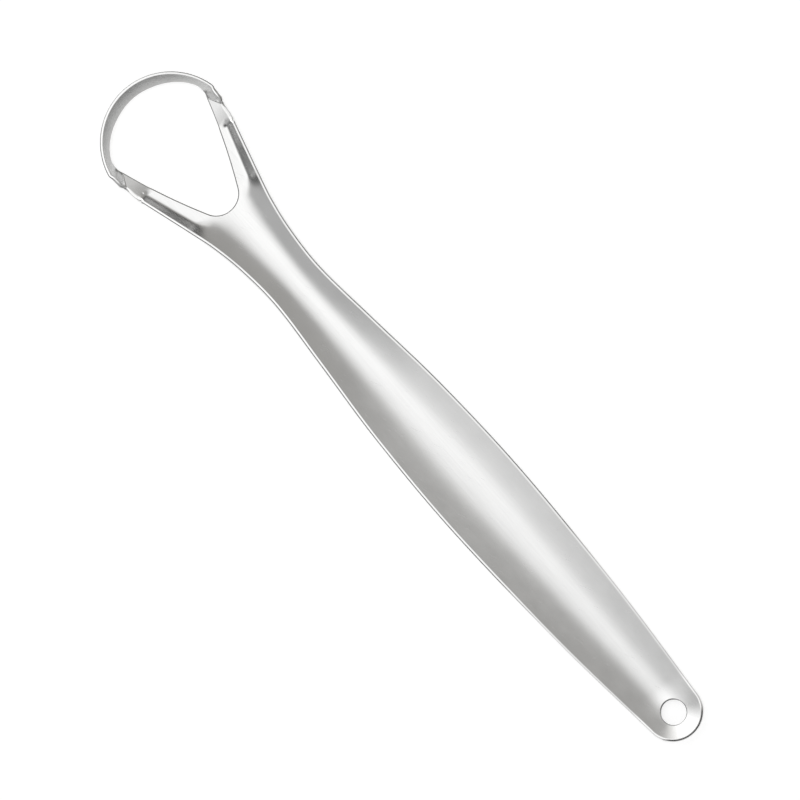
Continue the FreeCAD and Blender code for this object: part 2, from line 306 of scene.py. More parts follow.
def eased(share):
    """0 up to 0, 1 from 1 on, and a smooth step in between."""
    share = min(max(share, 0), 1)
    return share * share * (3 - 2 * share)


def smooth_through(points, x):
    """The height at x of a smooth curve through the points, which run from left to right."""
    last = len(points) - 1
    slopes = []
    for i in range(last + 1):
        before = points[max(i - 1, 0)]
        after = points[min(i + 1, last)]
        slopes.append((after[1] - before[1]) / (after[0] - before[0]))
    i = 0
    while i < last - 1 and x > points[i + 1][0]:
        i += 1
    run = points[i + 1][0] - points[i][0]
    u = (x - points[i][0]) / run
    start = (2 * u**3 - 3 * u**2 + 1) * points[i][1] + (u**3 - 2 * u**2 + u) * run * slopes[i]
    end = (3 * u**2 - 2 * u**3) * points[i + 1][1] + (u**3 - u**2) * run * slopes[i + 1]
    return start + end


def edge_side(slope):
    """Turn of the side of an edge from the upper face: square to level sheet, upright on steep sheet."""
    return 90 + slope * eased((slope - SQUARE_SIDE_SLOPE) / (UPRIGHT_SIDE_SLOPE - SQUARE_SIDE_SLOPE))


def edge_steps(slope, edge):
    """Points down an edge of the sheet, as steps outwards and down from the end of the upper face,
    each with its turn from the upper face. The sheet rises outwards at the given slope."""
    side = edge_side(slope)
    stages = []
    turn = 0
    for tilt, width in edge.facets:
        turn = min(max(slope + tilt, turn + LEAST_TURN), side - LEAST_TURN)
        width *= min(max((slope + tilt) / tilt, LEAST_FACET), 1)
        stages.append((turn, edge.outer_round if stages else edge.inner_round, width))
    stages += [(side, edge.outer_round, None), (180, edge.lower_round, 0)]
    steps = []
    out = 0
    down = 0
    start = 0
    for end, radius, width in stages:
        for i in range(1, EDGE_STEPS + 1):
            turn = between(start, end, i / EDGE_STEPS)
            step_out = radius * (sine(turn) - sine(start))
            step_down = radius * (cosine(start) - cosine(turn))
            steps.append((out + step_out, down + step_down, turn))
        out, down, start = steps[-1]
        if width is None:
            width = (SHEET - down - edge.lower_round * (1 + cosine(side))) / sine(side)
        if width > 0:
            out += width * cosine(start)
            down += width * sine(start)
            steps.append((out, down, start))
    return steps


def edge_reach(slope, edge):
    """How far an edge reaches outwards, in plan, from the end of the upper face."""
    return max(out * cosine(slope) + down * sine(slope) for out, down, _ in edge_steps(slope, edge))


def blended_edge(first, second, share):
    """An edge this share of the way from the first to the second."""
    facets = []
    for (first_tilt, first_width), (second_tilt, second_width) in zip(first.facets, second.facets):
        facets.append((between(first_tilt, second_tilt, share), between(first_width, second_width, share)))
    rounds = [between(a, b, share) for a, b in zip(first[1:], second[1:])]
    return Edge(facets, *rounds)


# Loop: its middle, and the outer and inner corners of the band's end
LOOP_X = LOOP_FRONT_X + LOOP_RADIUS
BAND_INNER_RADIUS = LOOP_RADIUS - BAND_WIDTH * cosine(BAND_TILT) - SHEET * sine(BAND_TILT)
BAND_END_X = LOOP_X - LOOP_RADIUS * cosine(BAND_HALF_SPAN)
BAND_END_INNER_X = LOOP_X - BAND_INNER_RADIUS * cosine(BAND_HALF_SPAN)

# Shoulder: the cut across the strip where the loop ends and the arm begins
SHOULDER_HALF_WIDTH = LOOP_RADIUS * sine(BAND_HALF_SPAN) - SHOULDER_INSET
SHOULDER_OUTER = (BAND_END_X + TWIST_OUTER_LENGTH, SHOULDER_HALF_WIDTH)
SHOULDER_INNER = (BAND_END_INNER_X + TWIST_INNER_LENGTH, SHOULDER_HALF_WIDTH - SHOULDER_STRIP)

# Places along the length
FLANGE_FLAT_X = ARM_END_X - FLANGE_LENGTH - FLANGE_RAMP
FLANGE_FULL_X = ARM_END_X - FLANGE_LENGTH
NECK_X = ARM_END_X + NECK_SETBACK

# Outer edge from the loop to the end of the tab, each form at its x
OUTER_EDGES = [
    (BAND_END_X, OUTER_EDGE),
    (BAND_END_X + NOSE_EDGE_LENGTH, NOSE_EDGE),
    (SHOULDER_OUTER[0], TIP_EDGE),
    (SHOULDER_OUTER[0] + NOSE_FADE_LENGTH, SHOULDER_EDGE),
    (FLANGE_START_X, SHOULDER_EDGE),
    (FLANGE_START_X + FLANGE_START_LENGTH, OUTER_EDGE),
    (SOFTENING_X, OUTER_EDGE),
    (SOFTENING_X + SOFTENING_LENGTH, TAPER_EDGE),
    (TAB_X + TAB_EDGE_SETBACK, TAPER_EDGE),
    (TAB_X + TAB_EDGE_SETBACK + TAB_EDGE_BLEND, TAB_EDGE),
]

# Opening: the middle of its round end, and where its long sides leave that round
OPENING_END_X = ARM_END_X + OPENING_END_REACH - OPENING_END_RADIUS
OPENING_LEAVE = (
    OPENING_END_X + OPENING_END_RADIUS * sine(OPENING_END_FLARE),
    OPENING_END_RADIUS * cosine(OPENING_END_FLARE),
)

# Tab: the upward bend ahead of its hole
BEND_RADIUS = TAB_BEND_LENGTH / math.radians(TAB_TILT)
BEND_START_X = TAB_X - BEND_RADIUS * sine(TAB_TILT)
FLOOR_BEND_RADIUS = BEND_RADIUS - SHEET
FLOOR_BEND_LENGTH = FLOOR_BEND_RADIUS * math.radians(TAB_TILT)
TAB_FRONT = TAB_START_X - BEND_START_X - FLOOR_BEND_LENGTH


def grip_place(place):
    """The x at a place from 0 at the narrowest point of the neck to 1 at the middle of the tab."""
    return NECK_X + place * (TAB_X - NECK_X)


HANDLE_OUTLINE = [
    (ARM_END_X, YOKE_WIDTH / 2),
    (ARM_END_X + YOKE_MIDDLE_SETBACK, YOKE_MIDDLE_WIDTH / 2),
    (ARM_END_X + NECK_FRONT_SETBACK, NECK_FRONT_WIDTH / 2),
    (NECK_X, NECK_WIDTH / 2),
    (grip_place(SWELL_PLACE), SWELL_WIDTH / 2),
    (grip_place(GRIP_FRONT_PLACE), GRIP_FRONT_WIDTH / 2),
    (grip_place(BELLY_PLACE), BELLY_WIDTH / 2),
    (grip_place(TAPER_PLACE), TAPER_WIDTH / 2),
    (TAB_X, TAB_RADIUS),
]
HOLLOW_START = (0.0, YOKE_WIDTH / 2 - FLANGE_BACK_WIDTH, CREASE_ROUND, FLANGE_TILT)
HOLLOW_LINES = []
for column in range(1, len(HOLLOW_START)):
    HOLLOW_LINES.append([(ARM_END_X + line[0], line[column]) for line in [HOLLOW_START] + HOLLOW])


# Outlines of the arms

def opening_side():
    """Middle and radius of the long arc along an arm, tangent to the round end of the opening."""
    along = SHOULDER_INNER[0] - OPENING_LEAVE[0]
    across = SHOULDER_INNER[1] - OPENING_LEAVE[1]
    inward = (-sine(OPENING_END_FLARE), -cosine(OPENING_END_FLARE))
    radius = (along**2 + across**2) / (2 * (along * inward[0] + across * inward[1]))
    return (OPENING_LEAVE[0] + radius * inward[0], OPENING_LEAVE[1] + radius * inward[1]), radius


OPENING_SIDE_MIDDLE, OPENING_SIDE_RADIUS = opening_side()
OPENING_INSET = edge_reach(0, OPENING_EDGE)


def opening_half_width(x):
    """Half the distance between the inner ends of the arms' upper faces at x."""
    radius = OPENING_SIDE_RADIUS + OPENING_INSET
    return OPENING_SIDE_MIDDLE[1] + math.sqrt(radius**2 - (x - OPENING_SIDE_MIDDLE[0])**2)


def arm_outer_half_width(x):
    """Half the outer width across the arms, from the nose along a nearly straight line to the yoke."""
    share = (x - SHOULDER_OUTER[0]) / (ARM_END_X - SHOULDER_OUTER[0])
    bulge = eased((x - SHOULDER_OUTER[0]) / SHOULDER_BULGE_LENGTH)
    return between(SHOULDER_OUTER[1], YOKE_WIDTH / 2, share) - NOSE_INSET * (1 - bulge)


def outer_edge(x):
    """Outer edge of the sheet at x, blended from the forms listed before and after it."""
    i = 0
    while i < len(OUTER_EDGES) - 2 and x > OUTER_EDGES[i + 1][0]:
        i += 1
    (start_x, start_edge), (end_x, end_edge) = OUTER_EDGES[i:i + 2]
    return blended_edge(start_edge, end_edge, eased((x - start_x) / (end_x - start_x)))


def opening_edge(x):
    """Edge of the opening at x, which is the same everywhere."""
    return OPENING_EDGE


def hole_edge(x):
    """Edge of the hanging hole at x. It falls away more on the front side of the hole."""
    past = (x - TAB_X + HANG_HOLE_RADIUS) / HOLE_FRONT_LENGTH
    return blended_edge(HOLE_FRONT_EDGE, HOLE_EDGE, eased(past))


def crease_half_width(x):
    """Half the distance between the two creases at x, along the arms."""
    share = (x - FLANGE_FLAT_X) / (ARM_END_X - FLANGE_FLAT_X)
    return arm_outer_half_width(x) - between(FLANGE_FRONT_WIDTH, FLANGE_BACK_WIDTH, share)


# Heights of the upper face

def flange_share(x, reach):
    """How far the flange is turned up at x, this far outside the crease. Its front end slants."""
    return eased((x - FLANGE_START_X - FLANGE_SLANT * max(reach, 0)) / FLANGE_START_LENGTH)


def shoulder_lean(x):
    return SHOULDER_LEAN + SHOULDER_LEAN_GAIN * max(x - SHOULDER_OUTER[0], 0)


def arm_rim(x):
    """Half the distance between the outer ends of the arms' upper faces at x."""
    outer = arm_outer_half_width(x)
    turned_up = flange_share(x, outer - crease_half_width(x))
    return outer - edge_reach(between(shoulder_lean(x), FLANGE_TILT, turned_up), outer_edge(x))


def hollow_rise(y, crease, softness, slope):
    """Rise at y of two flanks of this slope, which start softly at the creases on either side."""
    near = math.hypot(abs(y) - crease, softness)
    far = math.hypot(abs(y) + crease, softness)
    return tangent(slope) * ((near + far) / 2 - math.hypot(crease, softness))


def arm_height(x, y):
    """Upper face of an arm: a leaning shoulder, and then a flat strip with its turned-up flange."""
    crease = crease_half_width(x)
    lean = tangent(shoulder_lean(x)) * (abs(y) - opening_half_width(x))
    flange = hollow_rise(y, crease, CREASE_ROUND, FLANGE_TILT)
    return SHEET + between(lean, flange, flange_share(x, abs(y) - crease))


def hollow(x):
    """Half distance between the creases, their softness and the flanks' slope at x."""
    return [smooth_through(line, x) for line in HOLLOW_LINES]


def handle_height(x, y):
    return SHEET + hollow_rise(y, *hollow(x))


def handle_rim(x):
    """Half the distance between the outer ends of the handle's upper face at x."""
    slope = hollow(x)[-1]
    return smooth_through(HANDLE_OUTLINE, x) - edge_reach(slope, outer_edge(x))


def hole_face(angle):
    """Distance from the middle of the hanging hole to the inner end of the upper face around it."""
    return HANG_HOLE_RADIUS + edge_reach(0, hole_edge(TAB_X + HANG_HOLE_RADIUS * cosine(angle)))


def tab_rim(angle):
    """Distance from the middle of the hole to the end of the upper face, round the end of the tab."""
    slope = hollow(TAB_X)[-1]
    end = TAB_RADIUS - TAB_END_TRIM * cosine(angle)
    return end - edge_reach(slope, outer_edge(TAB_X + end * cosine(angle)))


def bent(x, y, height):
    """Place of a point of the handle. Near the tab the section at x is turned upwards."""
    turn = math.asin(max(x - BEND_START_X, 0) / BEND_RADIUS)
    lift = BEND_RADIUS * (1 - math.cos(turn))
    return Vector((x - math.sin(turn) * height, y, lift + math.cos(turn) * height))


def tab_section_x(along):
    """The x of the section this far along the bent floor from the middle of the tab."""
    if along < -FLOOR_BEND_LENGTH:
        return BEND_START_X + along + FLOOR_BEND_LENGTH
    turn = math.radians(TAB_TILT) + along / FLOOR_BEND_RADIUS
    return BEND_START_X + BEND_RADIUS * math.sin(turn)


def tab_point(along, across):
    """Upper face of the tab: a bent trough ahead of the hole, and a round dish behind it."""
    if along < 0:
        x = tab_section_x(along)
        return bent(x, across, handle_height(x, across))
    reach = math.hypot(along, across)
    height = handle_height(TAB_X, reach)
    step = Vector((along * cosine(TAB_TILT), across, along * sine(TAB_TILT)))
    return bent(TAB_X, 0, height) + step


# Rows of points on the right half, each from the inner edge or middle line out to the rim

def spread(middle, gather):
    """Shares of the way along a row, gathered towards the middle one."""
    half = STRIP_STEPS // 2
    inner = [middle * (1 - (1 - i / half)**gather) for i in range(half)]
    outer = [middle + (1 - middle) * (i / half)**gather for i in range(half + 1)]
    return inner + outer


def wall_height(radius):
    """Height of the band's wall at this distance from the middle of the loop."""
    return SHEET * cosine(BAND_TILT) + (radius - BAND_INNER_RADIUS) * tangent(BAND_TILT)


def band_inner(angle):
    """Radius of the inner end of the band's upper face on the ray at this angle."""
    narrowed = eased((angle - BAND_NARROW_START) / (CORNER_ANGLE - BAND_NARROW_START))
    filled = max(1 - (CORNER_ANGLE - angle) / CORNER_FILL_ANGLE, 0)**2
    bare = between(BAND_FACE_INNER, BARE_CORNER_RADIUS, narrowed)
    return bare + (CORNER_RADIUS - BARE_CORNER_RADIUS) * filled


def twist_inner(x):
    """Point in plan on the inner end of the twist's upper face, with the filled corner of the loop."""
    filled = max(1 - (x - CORNER_X) / CORNER_FILL_LENGTH, 0)**2
    return Vector((x, opening_half_width(x) - CORNER_FILL * filled))


def band_row(angle, shares):
    """Row up the leaning band, whose upper end is on the ray at this angle from the front of the loop."""
    row = []
    for share in shares:
        ray = angle * between(CORNER_ANGLE / BAND_HALF_SPAN, 1, share)
        radius = between(band_inner(ray), BAND_FACE_OUTER, share)
        row.append(Vector((LOOP_X - radius * cosine(ray), radius * sine(ray), wall_height(radius))))
    return row


def plan_row(inner, outer, shares, height):
    """Row that is straight in plan from the inner to the outer point, at the given height."""
    row = []
    for share in shares:
        x = between(inner[0], outer[0], share)
        y = between(inner[1], outer[1], share)
        row.append(Vector((x, y, height(x, y))))
    return row


# Even shares, where rows turn square to the arms, the band's upper face, and the loop's inner corners
EVEN = spread(0.5, 1)
ARM_SQUARE_X = FLANGE_START_X - SHOULDER_SQUARE_LEAD
BAND_FACE_INNER = BAND_INNER_RADIUS + edge_reach(-BAND_TILT, OPENING_EDGE)
BAND_FACE_OUTER = LOOP_RADIUS - edge_reach(BAND_TILT, OUTER_EDGE)
CORNER_Y = opening_half_width(CORNER_X) - CORNER_FILL
CORNER_RADIUS = math.hypot(LOOP_X - CORNER_X, CORNER_Y)
BARE_CORNER_RADIUS = math.hypot(LOOP_X - CORNER_X, CORNER_Y + CORNER_FILL)
CORNER_ANGLE = math.degrees(math.atan2(CORNER_Y, LOOP_X - CORNER_X))


def crease_share(x):
    """Share of the way across an arm's upper face at which its crease lies."""
    inner = opening_half_width(x)
    return (crease_half_width(x) - inner) / (arm_rim(x) - inner)


def loop_rows():
    return [band_row(BAND_HALF_SPAN * i / LOOP_STEPS, EVEN) for i in range(LOOP_STEPS + 1)]


def shoulder_cut():
    """Ends in plan of the row across the shoulder where the loop ends and the arm begins."""
    inner = (SHOULDER_INNER[0], opening_half_width(SHOULDER_INNER[0]))
    return inner, (SHOULDER_OUTER[0], arm_rim(SHOULDER_OUTER[0]))


def nearest_on(line, place):
    """The point nearest to a place on a line of points in plan."""
    nearest = line[0]
    for start, end in zip(line, line[1:]):
        run = end - start
        share = min(max((place - start).dot(run) / run.length_squared, 0), 1)
        point = start + run * share
        if (place - point).length < (place - nearest).length:
            nearest = point
    return nearest


def nose_wall(place, share, rim_line):
    """Height of the wall, which falls inwards from a rim that curls down to the tip of the nose."""
    tilt = between(BAND_TILT, NOSE_TILT, eased(share / TWIST_BLEND))
    nearest = nearest_on(rim_line, place)
    past = min(max(1 - (SHOULDER_OUTER[0] - nearest.x) / NOSE_DROP_LENGTH, 0), 1)
    drop = NOSE_DROP * (1 - math.sqrt(1 - past**2))
    return wall_height(BAND_FACE_OUTER) - drop - (place - nearest).length * tangent(tilt)


def folded_height(place, share, rim_line):
    """Upper face of the twist: the band's wall goes on, and meets the shoulder in a soft fold."""
    shoulder = arm_height(*place)
    wall = nose_wall(place, share, rim_line)
    step = (wall - shoulder + math.hypot(wall - shoulder, FOLD_SOFTNESS)) / 2
    standing = 1 - eased((share - NOSE_START) / (1 - NOSE_START))
    return between(wall, shoulder + step * standing, eased(share / TWIST_BLEND))


def nose_outline(share):
    """Outer edge of the twist in plan: on along the band, and then round the blunt nose."""
    x = between(BAND_END_X, SHOULDER_OUTER[0], share)
    step = NOSE_STEP * eased((x - BAND_END_X) / NOSE_STEP_LENGTH)
    band_side = LOOP_RADIUS * sine(BAND_HALF_SPAN) - step - NOSE_TAPER * (x - BAND_END_X)
    arm_side = arm_outer_half_width(SHOULDER_OUTER[0])
    past = (share - NOSE_ROUND_START) / (1 - NOSE_ROUND_START)
    return Vector((x, between(band_side, arm_side, eased(past))))


def twist_rims(start, end, shares):
    """Outer ends in plan of the twist's rows, set in from the outline by the reach of the edge."""
    start_aim = (start[-1].xy - nose_outline(0)).normalized()
    end_aim = (end[-1].xy - nose_outline(1)).normalized()
    rims = []
    for share in shares:
        outline = nose_outline(share)
        slope = between(BAND_TILT, shoulder_lean(SHOULDER_OUTER[0]), share**TWIST_LATENESS)
        reach = edge_reach(slope, outer_edge(outline.x))
        rims.append(outline + between(start_aim, end_aim, share) * reach)
    return rims


def twist_rows():
    """Rows that lay the end of the leaning band gently down onto the shoulder, and the lifts that shape
    the fold and the nose on its upper face."""
    start = band_row(BAND_HALF_SPAN, EVEN)
    end = plan_row(*shoulder_cut(), EVEN, arm_height)
    shares = [sine(90 * i / TWIST_STEPS) for i in range(TWIST_STEPS + 1)]
    rims = twist_rims(start, end, shares)
    rim_line = [row[-1].xy for row in loop_rows()] + rims[1:]
    rows = []
    lifts = []
    for share, rim in zip(shares, rims):
        inner = twist_inner(between(CORNER_X, SHOULDER_INNER[0], share))
        row = []
        row_lifts = []
        for first, last, across in zip(start, end, EVEN):
            bow = first.xy - between(start[0].xy, start[-1].xy, across)
            place = between(inner, rim, across) + bow * (1 - share)
            height = between(first.z, last.z, eased(share))
            row.append(Vector((*place, height)))
            row_lifts.append(folded_height(place, share, rim_line) - height)
        rows.append(row)
        lifts.append(row_lifts)
    return rows, lifts


def shoulder_rows():
    """Rows that turn from the slanted cut at the shoulder to square across the arm."""
    rows = []
    for i in range(SHOULDER_STEPS + 1):
        share = i / SHOULDER_STEPS
        inner_x = between(SHOULDER_INNER[0], ARM_SQUARE_X, share)
        outer_x = between(SHOULDER_OUTER[0], ARM_SQUARE_X, share)
        inner = (inner_x, opening_half_width(inner_x))
        outer = (outer_x, arm_rim(outer_x))
        middle = between(0.5, crease_share(ARM_SQUARE_X), share)
        shares = spread(middle, between(1, CREASE_GATHER, share))
        rows.append(plan_row(inner, outer, shares, arm_height))
    return rows


def flange_rows():
    """Rows square across the arm, close together where the flange begins."""
    start_shares = [i / FLANGE_START_STEPS for i in range(FLANGE_START_STEPS)]
    shares = [i / FLANGE_STEPS for i in range(FLANGE_STEPS + 1)]
    places = [between(ARM_SQUARE_X, FLANGE_FULL_X, share) for share in start_shares]
    places += [between(FLANGE_FULL_X, ARM_END_X, share) for share in shares]
    rows = []
    for x in places:
        gathered = spread(crease_share(x), CREASE_GATHER)
        rows.append(plan_row((x, opening_half_width(x)), (x, arm_rim(x)), gathered, arm_height))
    return rows


def handle_columns(x):
    """Half widths of the points of a handle row at x, from the middle line to the rim."""
    rim_y = handle_rim(x)
    return [rim_y * i / HALF_HANDLE_STEPS for i in range(HALF_HANDLE_STEPS + 1)]


# Edge of the upper face round the end of the opening: a straight stretch and then an arc to the middle
OPENING_FACE_RADIUS = OPENING_END_RADIUS + OPENING_INSET
OPENING_FACE_LEAVE_X = OPENING_END_X + OPENING_FACE_RADIUS * sine(OPENING_END_FLARE)
OPENING_SIDE_LENGTH = (OPENING_FACE_LEAVE_X - ARM_END_X) / cosine(OPENING_END_FLARE)
OPENING_END_LENGTH = OPENING_SIDE_LENGTH + OPENING_FACE_RADIUS * math.radians(90 - OPENING_END_FLARE)


def opening_end_point(share):
    """Point on the edge of the opening, from 0 at the ends of the arms round to 1 at the middle."""
    distance = share * OPENING_END_LENGTH
    if distance < OPENING_SIDE_LENGTH:
        x = between(ARM_END_X, OPENING_FACE_LEAVE_X, distance / OPENING_SIDE_LENGTH)
        return x, opening_half_width(x)
    turn = math.degrees((OPENING_END_LENGTH - distance) / OPENING_FACE_RADIUS)
    return OPENING_END_X + OPENING_FACE_RADIUS * cosine(turn), OPENING_FACE_RADIUS * sine(turn)


def crossing_share(inner, outer):
    """Share of the way from inner to outer at which a row of the yoke crosses the crease."""
    low = 0
    high = 1
    for _ in range(SETTLING_STEPS):
        share = (low + high) / 2
        x = between(inner[0], outer[0], share)
        if between(inner[1], outer[1], share) < hollow(x)[0]:
            low = share
        else:
            high = share
    return low


def yoke_rows():
    """Rows that fan out from the end of the opening, first to the rim and then to the neck."""
    targets = []
    for i in range(YOKE_RIM_STEPS + 1):
        x = between(ARM_END_X, NECK_START_X, i / YOKE_RIM_STEPS)
        targets.append((x, handle_rim(x)))
    targets += [(NECK_START_X, y) for y in reversed(handle_columns(NECK_START_X)[:-1])]
    rows = []
    for i, outer in enumerate(targets):
        inner = opening_end_point(i / (len(targets) - 1))
        fade = min(i / YOKE_RIM_STEPS, 1)
        if i <= YOKE_RIM_STEPS:
            middle = crossing_share(inner, outer)
            corner_middle = middle
        else:
            middle = between(corner_middle, 0.5, (i - YOKE_RIM_STEPS) / HALF_HANDLE_STEPS)
        shares = spread(middle, between(CREASE_GATHER, 1, fade))
        rows.append(plan_row(inner, outer, shares, handle_height))
    return rows


def handle_rows(start_x, end_x, steps):
    """Rows from the middle line square across the handle."""
    rows = []
    for i in range(steps + 1):
        x = between(start_x, end_x, i / steps)
        rows.append([bent(x, y, handle_height(x, y)) for y in handle_columns(x)])
    return rows


def tab_rows():
    """Rows from the hanging hole out to the grip, then to the rim, and round the end of the tab."""
    targets = [(TAB_FRONT, y) for y in handle_columns(TAB_START_X)]
    for i in range(1, TAB_RIM_STEPS + 1):
        along = TAB_FRONT * (1 - i / TAB_RIM_STEPS)
        targets.append((along, handle_rim(tab_section_x(along))))
    front_steps = len(targets) - 1
    angles = [180 - 90 * i / front_steps for i in range(front_steps + 1)]
    for i in range(1, TAB_END_STEPS + 1):
        angle = 90 * (1 - i / TAB_END_STEPS)
        rim = tab_rim(angle)
        angles.append(angle)
        targets.append((rim * cosine(angle), rim * sine(angle)))
    rows = []
    for angle, (target_along, target_across) in zip(angles, targets):
        face = hole_face(angle)
        row = []
        for i in range(TAB_STEPS + 1):
            share = i / TAB_STEPS
            along = between(face * cosine(angle), target_along, share)
            across = between(face * sine(angle), target_across, share)
            row.append(tab_point(along, across))
        rows.append(row)
    return rows


# The sheet: welded upper face, lower face, edges, and which node each face belongs to

class Sheet:
    """Faces over one list of points. The upper face comes first, and is then given its thickness."""

    def __init__(self):
        self.points = []
        self.normals = []
        self.polish = []
        self.shade = []
        self.faces = []
        self.nodes = []
        self.place = {}
        self.lifts = {}
        self.rims = {}
        self.undercuts = {}

    def point_number(self, point, lift):
        """Number of the point at this place, which is new if no other row has it yet."""
        key = tuple(round(value, WELD_DIGITS) + 0.0 for value in point)
        if key not in self.place:
            self.place[key] = len(self.points)
            self.points.append(point.copy())
        self.lifts[self.place[key]] = lift + sum(mark.lift * mark_share(point, mark) for mark in MARKS)
        return self.place[key]

    def add_face(self, corners, node):
        self.faces.append(tuple(corners))
        self.nodes.append(node)

    def add_rows(self, rows, right_node, left_node, lifts=None):
        """Faces between neighbouring rows on the right half, and their mirror images on the left."""
        right = []
        left = []
        for i, row in enumerate(rows):
            row_lifts = lifts[i] if lifts else [0] * len(row)
            right.append([self.point_number(p, lift) for p, lift in zip(row, row_lifts)])
            mirrored = [Vector((p.x, -p.y, p.z)) for p in row]
            left.append([self.point_number(p, lift) for p, lift in zip(mirrored, row_lifts)])
            for numbers in (right[-1], left[-1]):
                self.rims.update({number: numbers[-1] for number in numbers})
        for i in range(len(rows) - 1):
            for j in range(len(rows[i]) - 1):
                corners = [(i, j), (i + 1, j), (i + 1, j + 1), (i, j + 1)]
                self.add_face([right[row][column] for row, column in corners], right_node)
                self.add_face([left[row][column] for row, column in reversed(corners)], left_node)

    def smooth_normals(self):
        """Normal at each point, as the mean over the faces around it."""
        normals = [Vector() for _ in self.points]
        for face in self.faces:
            a, b, c, d = (self.points[i] for i in face)
            across = (c - a).cross(d - b)
            for i in face:
                normals[i] += across
        return [normal.normalized() for normal in normals]

    def edge_loops(self):
        """Each edge of the upper face as (points in order, nodes of the faces along it)."""
        owner = {}
        for face, node in zip(self.faces, self.nodes):
            for i, start in enumerate(face):
                owner[(start, face[(i + 1) % len(face)])] = node
        following = {start: end for start, end in owner if (end, start) not in owner}
        loops = []
        while following:
            start = next(iter(following))
            loop = []
            while start in following:
                loop.append(start)
                start = following.pop(start)
            nodes = [owner[(a, b)] for a, b in zip(loop, loop[1:] + loop[:1])]
            loops.append((loop, nodes))
        return loops

    def edge_rule(self, loop):
        """The function that gives the form at x of the edge along a loop."""
        if min(self.points[i].x for i in loop) > TAB_START_X:
            return hole_edge
        if max(self.points[i].x for i in loop) < NECK_START_X:
            return opening_edge
        return outer_edge

    def outward(self, loop):
        """Direction out of the sheet at each point of a loop, eased round the corners of its outline."""
        directions = []
        for before, i, after in zip(loop[-1:] + loop[:-1], loop, loop[1:] + loop[:1]):
            along = self.points[after] - self.points[before]
            directions.append(along.cross(self.normals[i]).normalized())
        for _ in range(EDGE_SMOOTHING):
            neighbours = zip(directions[-1:] + directions[:-1], directions, directions[1:] + directions[:1])
            directions = [(a + b * 2 + c).normalized() for a, b, c in neighbours]
        square = []
        for i, direction in zip(loop, directions):
            square.append((direction - self.normals[i] * direction.dot(self.normals[i])).normalized())
        return square

    def thicken(self):
        """Adds the lower face and the eased edges, and then lifts the fine forms of the upper face."""
        upper_faces = list(zip(self.faces, self.nodes))
        loops = self.edge_loops()
        count = len(self.points)
        self.normals = self.smooth_normals()
        for i in range(count):
            self.points.append(self.points[i] - self.normals[i] * SHEET)
        self.normals += [-normal for normal in self.normals]
        self.polish = [0.0] * len(self.points)
        # Painted shade at each mark that has some, on the lower face as well as the upper
        self.shade = [sum(mark.shade * mark_share(p, mark) for mark in MARKS) for p in self.points]
        for face, node in upper_faces:
            self.add_face([count + i for i in reversed(face)], node)
        for loop, nodes in loops:
            edge_at = self.edge_rule(loop)
            chains = []
            for i, direction in zip(loop, self.outward(loop)):
                chains.append(self.edge_chain(i, direction, edge_at(self.points[i].x), count))
                # The wall of the hole gets painted shade
                if edge_at is hole_edge:
                    self.paint_shade_on_hole_wall(chains[-1])
            for start, end, node in zip(chains, chains[1:] + chains[:1], nodes):
                for j in range(len(start) - 1):
                    self.add_face([start[j], start[j + 1], end[j + 1], end[j]], node)
        self.draw_in_lower_face(count)
        self.lift_upper_face()
        for point in self.points:
            point.z = max(point.z, 0)

    def edge_chain(self, i, outward, edge, count):
        """Points from the upper to the lower face down the edge at point i, which share its lift."""
        upper = self.points[i].copy()
        normal = self.normals[i]
        slope = math.degrees(math.asin(outward.z))
        steps = edge_steps(slope, edge)
        chain = [i]
        for out, down, turn in steps[:-1]:
            chain.append(len(self.points))
            lower_share = (down / SHEET - LIFTED_SHARE) / (1 - LIFTED_SHARE)
            self.lifts[len(self.points)] = self.lifts[i] * (1 - eased(lower_share))
            self.points.append(upper + outward * out - normal * down)
            self.normals.append(outward * sine(turn) + normal * cosine(turn))
            self.polish.append(1.0)
            self.shade.append(0.0)
        out, down, _ = steps[-1]
        self.points[count + i] = upper + outward * out - normal * down
        self.undercuts[i] = max(-out, 0)
        return chain + [count + i]

    def paint_shade_on_hole_wall(self, chain):
        """Paints shade into the colour of the wall that the punch leaves in a hole, below its eased edge.
        """
        for number in chain[HOLE_WALL_START:]:
            self.shade[number] = HOLE_WALL_PAINTED_SHADE

    def draw_in_lower_face(self, count):
        """Makes room on the lower face beside rims whose side leans back under the sheet."""
        for i, rim in self.rims.items():
            away = self.points[i] - self.points[rim]
            nearness = max(1 - away.length / DRAW_IN_REACH, 0)
            self.points[count + i] += away.normalized() * self.undercuts.get(rim, 0) * nearness

    def lift_upper_face(self):
        """Raises the points that have a lift, and works out the normals around them again."""
        lifted = {i for i, lift in self.lifts.items() if abs(lift) > LEAST_LIFT}
        for i in lifted:
            self.points[i].z += self.lifts[i]
        normals = self.smooth_normals()
        for face in self.faces:
            if lifted.intersection(face):
                for i in face:
                    self.normals[i] = normals[i]


def mark_share(point, mark):
    """1 in the middle of a press mark, and 0 outside it."""
    distance = math.hypot(point.x - mark.x, point.y - mark.y)
    return max(1 - distance / MARK_RADIUS, 0)


def whole_sheet():
    """The scraper from its loop to its tab, as one sheet."""
    sheet = Sheet()
    sheet.add_rows(loop_rows(), "scraping_loop", "scraping_loop")
    twist, nose_lifts = twist_rows()
    sheet.add_rows(twist, "scraping_loop", "scraping_loop", nose_lifts)
    sheet.add_rows(shoulder_rows(), "right_arm", "left_arm")
    sheet.add_rows(flange_rows(), "right_arm", "left_arm")
    sheet.add_rows(yoke_rows(), "yoke", "yoke")
    sheet.add_rows(handle_rows(NECK_START_X, GRIP_START_X, NECK_STEPS), "neck", "neck")
    sheet.add_rows(handle_rows(GRIP_START_X, TAB_START_X, GRIP_STEPS), "grip", "grip")
    sheet.add_rows(tab_rows(), "hanging_tab", "hanging_tab")
    sheet.thicken()
    return sheet


